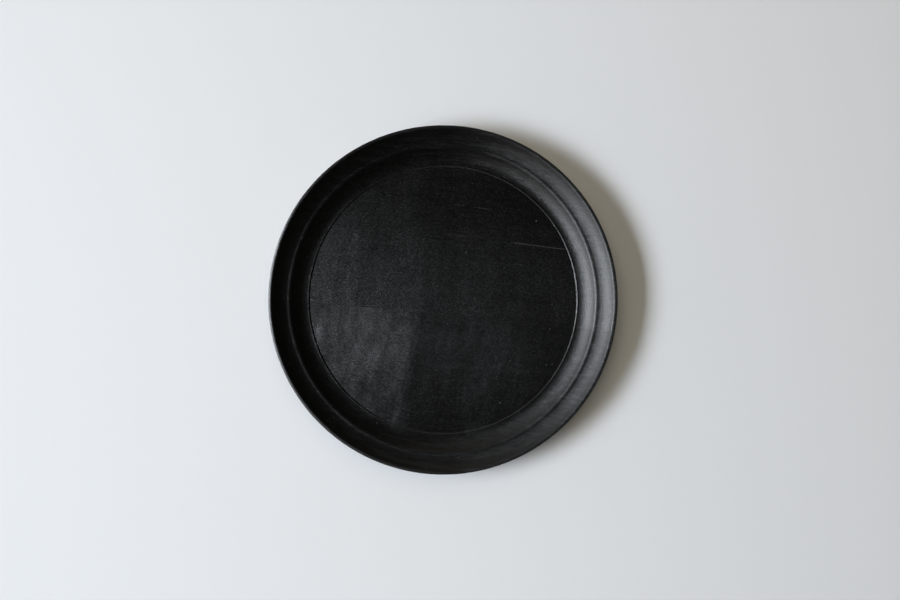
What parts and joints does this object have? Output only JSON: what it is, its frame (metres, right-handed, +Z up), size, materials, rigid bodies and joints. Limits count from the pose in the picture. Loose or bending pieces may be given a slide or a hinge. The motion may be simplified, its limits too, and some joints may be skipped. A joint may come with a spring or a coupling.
{
  "type": "serving tray",
  "caption": "Round black-stained wooden serving tray, lathe-turned from an edge-glued blank, with a flat floor, a stepped rim of concentric coves and a low foot ring.",
  "frame": {"origin": "on the turning axis, in the plane of the foot ring's sole", "axes": "+Z up out of the bowl, along the turning axis; +X along the wood grain and the glue line; +Y from the narrower front board towards the wider rear board"},
  "size_m": [0.3, 0.3, 0.024],
  "materials": {
    "stained_wood": "satin, black stain under a thin oil or wax",
    "glue": "satin, cured wood glue darkened by the stain"
  },
  "bodies": {
    "root": {"rear_board": "stained_wood", "front_board": "stained_wood", "glue_line": "glue"}
  },
  "joints": []
}
